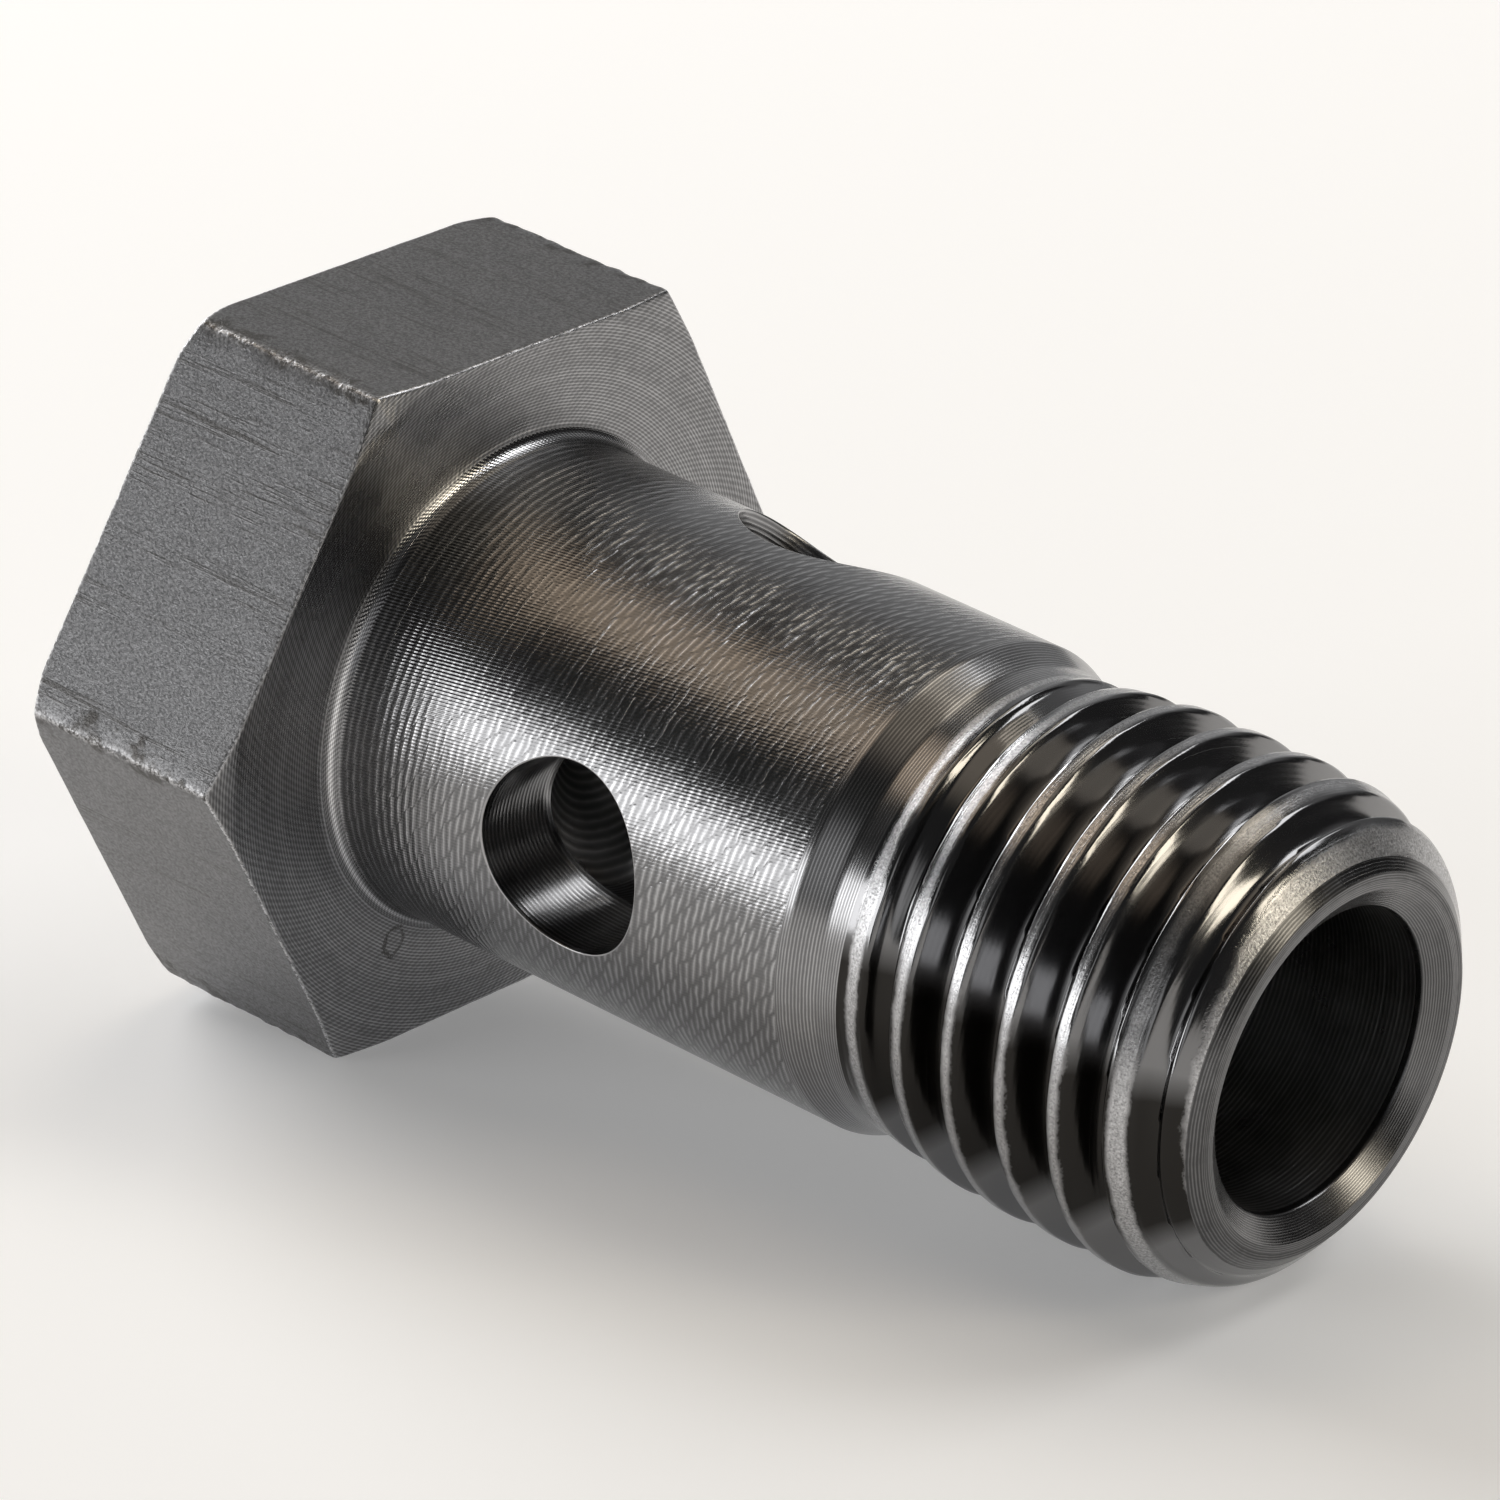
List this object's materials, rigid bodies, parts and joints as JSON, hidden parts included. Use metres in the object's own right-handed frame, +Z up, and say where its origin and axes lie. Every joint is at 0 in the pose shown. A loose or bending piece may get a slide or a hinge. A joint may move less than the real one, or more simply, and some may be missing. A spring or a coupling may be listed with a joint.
{
  "type": "banjo bolt",
  "caption": "Hexagon head banjo bolt with a smooth cross-drilled shank, a short fine thread and a blind bore open at the threaded end.",
  "frame": {"origin": "on the surface that the bolt lies on, under the middle of its bounding box", "axes": "+Z up, +X towards the threaded end; the bolt's own axis dips 6.51 degrees below +X, because it rests on the lower flat of its head and on its thread"},
  "size_m": [0.0319, 0.0196, 0.0176],
  "materials": {
    "steel": "bare machined steel: blasted hexagon flats, turned seat and shank, bright rolled thread"
  },
  "bodies": {
    "root": {"banjo_bolt": "steel"}
  },
  "joints": []
}
